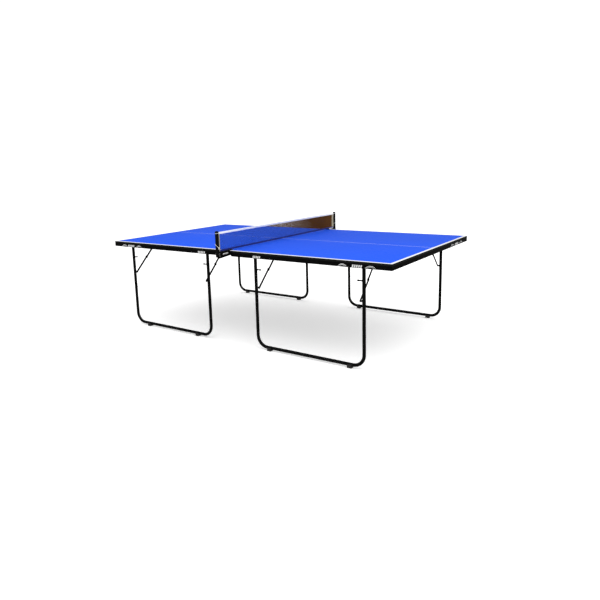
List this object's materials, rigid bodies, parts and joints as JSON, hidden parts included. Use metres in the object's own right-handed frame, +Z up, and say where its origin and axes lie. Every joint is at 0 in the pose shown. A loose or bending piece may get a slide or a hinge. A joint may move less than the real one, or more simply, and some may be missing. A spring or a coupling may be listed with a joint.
{
  "type": "ping pong table",
  "caption": "Blue-topped folding table tennis table in two halves on tubular U legs with folding stays, with a clamped net across the middle.",
  "frame": {"origin": "on the floor, under the middle of the playing surface", "axes": "+X along the table's length, +Y across it away from the near side, +Z up"},
  "size_m": [2.74, 1.7896, 0.9225],
  "materials": {
    "playing_surface": "matt lacquered particle board with white lines",
    "frame_steel": "black powder coat",
    "leg_steel": "black powder coat, satin",
    "zinc_fastener": "zinc plated",
    "foot_rubber": "black moulded rubber",
    "black_plastic": "black moulded plastic",
    "net_mesh": "knotted dark cord mesh",
    "net_tape": "white woven cotton tape",
    "tie_cord": "white twisted cord",
    "label_mark": "printed white mark"
  },
  "bodies": {
    "left_half": {"left_board": "playing_surface", "left_frame": "frame_steel", "left_near_outer_pivot_bolt": "zinc_fastener", "left_near_inner_pivot_bolt": "zinc_fastener", "left_far_outer_pivot_bolt": "zinc_fastener", "left_far_inner_pivot_bolt": "zinc_fastener", "near_dowel": "zinc_fastener", "far_dowel": "zinc_fastener", "net_mesh": "net_mesh", "net_top_tape": "net_tape", "near_net_post": "black_plastic", "near_net_clamp": "leg_steel", "near_tie_cord": "tie_cord", "near_post_bolt_upper": "zinc_fastener", "near_post_bolt_lower": "zinc_fastener", "far_net_post": "black_plastic", "far_net_clamp": "leg_steel", "far_tie_cord": "tie_cord", "far_post_bolt_upper": "zinc_fastener", "far_post_bolt_lower": "zinc_fastener"},
    "right_half": {"right_board": "playing_surface", "right_frame": "frame_steel", "right_near_outer_pivot_bolt": "zinc_fastener", "right_near_inner_pivot_bolt": "zinc_fastener", "right_far_outer_pivot_bolt": "zinc_fastener", "right_far_inner_pivot_bolt": "zinc_fastener"},
    "left_near_leg": {"left_near_leg": "leg_steel", "left_near_outer_foot": "foot_rubber", "left_near_inner_foot": "foot_rubber", "left_near_rest_stub": "leg_steel"},
    "left_near_outer_upper_stay": {"left_near_outer_upper_stay": "leg_steel"},
    "left_near_outer_lower_stay": {"left_near_outer_lower_stay": "leg_steel"},
    "left_near_inner_upper_stay": {"left_near_inner_upper_stay": "leg_steel"},
    "left_near_inner_lower_stay": {"left_near_inner_lower_stay": "leg_steel"},
    "left_far_leg": {"left_far_leg": "leg_steel", "left_far_outer_foot": "foot_rubber", "left_far_inner_foot": "foot_rubber"},
    "left_far_outer_upper_stay": {"left_far_outer_upper_stay": "leg_steel"},
    "left_far_outer_lower_stay": {"left_far_outer_lower_stay": "leg_steel"},
    "left_far_inner_upper_stay": {"left_far_inner_upper_stay": "leg_steel"},
    "left_far_inner_lower_stay": {"left_far_inner_lower_stay": "leg_steel"},
    "right_near_leg": {"right_near_leg": "leg_steel", "right_near_outer_foot": "foot_rubber", "right_near_inner_foot": "foot_rubber"},
    "right_near_outer_upper_stay": {"right_near_outer_upper_stay": "leg_steel"},
    "right_near_outer_lower_stay": {"right_near_outer_lower_stay": "leg_steel"},
    "right_near_inner_upper_stay": {"right_near_inner_upper_stay": "leg_steel"},
    "right_near_inner_lower_stay": {"right_near_inner_lower_stay": "leg_steel"},
    "right_far_leg": {"right_far_leg": "leg_steel", "right_far_outer_foot": "foot_rubber", "right_far_inner_foot": "foot_rubber"},
    "right_far_outer_upper_stay": {"right_far_outer_upper_stay": "leg_steel"},
    "right_far_outer_lower_stay": {"right_far_outer_lower_stay": "leg_steel"},
    "right_far_inner_upper_stay": {"right_far_inner_upper_stay": "leg_steel"},
    "right_far_inner_lower_stay": {"right_far_inner_lower_stay": "leg_steel"},
    "near_clamp_pad": {"near_clamp_pad": "foot_rubber"},
    "near_clamp_screw": {"near_clamp_screw": "black_plastic"},
    "far_clamp_pad": {"far_clamp_pad": "foot_rubber"},
    "far_clamp_screw": {"far_clamp_screw": "black_plastic"}
  },
  "joints": [
    {"name": "right_half_pull", "type": "slide", "parent": "left_half", "child": "right_half", "axis": [1, 0, 0], "range_m": [0, 0.3]},
    {"name": "left_near_leg_fold", "type": "hinge", "parent": "left_half", "child": "left_near_leg", "pos_m": [-0.701, -0.732, 0.728], "axis": [1, 0, 0], "range_deg": [0, 90]},
    {"name": "left_near_outer_upper_stay_turn", "type": "hinge", "parent": "left_half", "child": "left_near_outer_upper_stay", "pos_m": [-1.1252, -0.49, 0.728], "axis": [1, 0, 0], "range_deg": [0, 135]},
    {"name": "left_near_outer_lower_stay_turn", "type": "hinge", "parent": "left_near_leg", "child": "left_near_outer_lower_stay", "pos_m": [-1.1285, -0.732, 0.486], "axis": [1, 0, 0], "range_deg": [-135, 0]},
    {"name": "left_near_inner_upper_stay_turn", "type": "hinge", "parent": "left_half", "child": "left_near_inner_upper_stay", "pos_m": [-0.2768, -0.49, 0.728], "axis": [1, 0, 0], "range_deg": [0, 135]},
    {"name": "left_near_inner_lower_stay_turn", "type": "hinge", "parent": "left_near_leg", "child": "left_near_inner_lower_stay", "pos_m": [-0.2735, -0.732, 0.486], "axis": [1, 0, 0], "range_deg": [-135, 0]},
    {"name": "left_far_leg_fold", "type": "hinge", "parent": "left_half", "child": "left_far_leg", "pos_m": [-0.701, 0.732, 0.728], "axis": [-1, 0, 0], "range_deg": [0, 90]},
    {"name": "left_far_outer_upper_stay_turn", "type": "hinge", "parent": "left_half", "child": "left_far_outer_upper_stay", "pos_m": [-1.1252, 0.49, 0.728], "axis": [-1, 0, 0], "range_deg": [0, 135]},
    {"name": "left_far_outer_lower_stay_turn", "type": "hinge", "parent": "left_far_leg", "child": "left_far_outer_lower_stay", "pos_m": [-1.1285, 0.732, 0.486], "axis": [-1, 0, 0], "range_deg": [-135, 0]},
    {"name": "left_far_inner_upper_stay_turn", "type": "hinge", "parent": "left_half", "child": "left_far_inner_upper_stay", "pos_m": [-0.2768, 0.49, 0.728], "axis": [-1, 0, 0], "range_deg": [0, 135]},
    {"name": "left_far_inner_lower_stay_turn", "type": "hinge", "parent": "left_far_leg", "child": "left_far_inner_lower_stay", "pos_m": [-0.2735, 0.732, 0.486], "axis": [-1, 0, 0], "range_deg": [-135, 0]},
    {"name": "right_near_leg_fold", "type": "hinge", "parent": "right_half", "child": "right_near_leg", "pos_m": [0.701, -0.732, 0.728], "axis": [1, 0, 0], "range_deg": [0, 90]},
    {"name": "right_near_outer_upper_stay_turn", "type": "hinge", "parent": "right_half", "child": "right_near_outer_upper_stay", "pos_m": [1.1252, -0.49, 0.728], "axis": [1, 0, 0], "range_deg": [0, 135]},
    {"name": "right_near_outer_lower_stay_turn", "type": "hinge", "parent": "right_near_leg", "child": "right_near_outer_lower_stay", "pos_m": [1.1285, -0.732, 0.486], "axis": [1, 0, 0], "range_deg": [-135, 0]},
    {"name": "right_near_inner_upper_stay_turn", "type": "hinge", "parent": "right_half", "child": "right_near_inner_upper_stay", "pos_m": [0.2768, -0.49, 0.728], "axis": [1, 0, 0], "range_deg": [0, 135]},
    {"name": "right_near_inner_lower_stay_turn", "type": "hinge", "parent": "right_near_leg", "child": "right_near_inner_lower_stay", "pos_m": [0.2735, -0.732, 0.486], "axis": [1, 0, 0], "range_deg": [-135, 0]},
    {"name": "right_far_leg_fold", "type": "hinge", "parent": "right_half", "child": "right_far_leg", "pos_m": [0.701, 0.732, 0.728], "axis": [-1, 0, 0], "range_deg": [0, 90]},
    {"name": "right_far_outer_upper_stay_turn", "type": "hinge", "parent": "right_half", "child": "right_far_outer_upper_stay", "pos_m": [1.1252, 0.49, 0.728], "axis": [-1, 0, 0], "range_deg": [0, 135]},
    {"name": "right_far_outer_lower_stay_turn", "type": "hinge", "parent": "right_far_leg", "child": "right_far_outer_lower_stay", "pos_m": [1.1285, 0.732, 0.486], "axis": [-1, 0, 0], "range_deg": [-135, 0]},
    {"name": "right_far_inner_upper_stay_turn", "type": "hinge", "parent": "right_half", "child": "right_far_inner_upper_stay", "pos_m": [0.2768, 0.49, 0.728], "axis": [-1, 0, 0], "range_deg": [0, 135]},
    {"name": "right_far_inner_lower_stay_turn", "type": "hinge", "parent": "right_far_leg", "child": "right_far_inner_lower_stay", "pos_m": [0.2735, 0.732, 0.486], "axis": [-1, 0, 0], "range_deg": [-135, 0]},
    {"name": "near_clamp_pad_lift", "type": "slide", "parent": "left_half", "child": "near_clamp_pad", "axis": [0, 0, 1], "range_m": [-0.003, 0]},
    {"name": "near_clamp_screw_turn", "type": "hinge", "parent": "near_clamp_pad", "child": "near_clamp_screw", "pos_m": [0, -0.7305, 0.73], "axis": [0, 0, 1], "range_deg": [-720, 0]},
    {"name": "far_clamp_pad_lift", "type": "slide", "parent": "left_half", "child": "far_clamp_pad", "axis": [0, 0, 1], "range_m": [-0.003, 0]},
    {"name": "far_clamp_screw_turn", "type": "hinge", "parent": "far_clamp_pad", "child": "far_clamp_screw", "pos_m": [0, 0.7305, 0.73], "axis": [0, 0, 1], "range_deg": [-720, 0]}
  ],
  "couplings": [
    {"joint": "left_near_outer_upper_stay_turn", "follows": "left_near_leg_fold", "ratio": 1.5},
    {"joint": "left_near_outer_lower_stay_turn", "follows": "left_near_leg_fold", "ratio": -1.5},
    {"joint": "left_near_inner_upper_stay_turn", "follows": "left_near_leg_fold", "ratio": 1.5},
    {"joint": "left_near_inner_lower_stay_turn", "follows": "left_near_leg_fold", "ratio": -1.5},
    {"joint": "left_far_outer_upper_stay_turn", "follows": "left_far_leg_fold", "ratio": 1.5},
    {"joint": "left_far_outer_lower_stay_turn", "follows": "left_far_leg_fold", "ratio": -1.5},
    {"joint": "left_far_inner_upper_stay_turn", "follows": "left_far_leg_fold", "ratio": 1.5},
    {"joint": "left_far_inner_lower_stay_turn", "follows": "left_far_leg_fold", "ratio": -1.5},
    {"joint": "right_near_outer_upper_stay_turn", "follows": "right_near_leg_fold", "ratio": 1.5},
    {"joint": "right_near_outer_lower_stay_turn", "follows": "right_near_leg_fold", "ratio": -1.5},
    {"joint": "right_near_inner_upper_stay_turn", "follows": "right_near_leg_fold", "ratio": 1.5},
    {"joint": "right_near_inner_lower_stay_turn", "follows": "right_near_leg_fold", "ratio": -1.5},
    {"joint": "right_far_outer_upper_stay_turn", "follows": "right_far_leg_fold", "ratio": 1.5},
    {"joint": "right_far_outer_lower_stay_turn", "follows": "right_far_leg_fold", "ratio": -1.5},
    {"joint": "right_far_inner_upper_stay_turn", "follows": "right_far_leg_fold", "ratio": 1.5},
    {"joint": "right_far_inner_lower_stay_turn", "follows": "right_far_leg_fold", "ratio": -1.5},
    {"joint": "near_clamp_pad_lift", "follows": "near_clamp_screw_turn", "m_per_rad": 0.00023873},
    {"joint": "far_clamp_pad_lift", "follows": "far_clamp_screw_turn", "m_per_rad": 0.00023873}
  ]
}
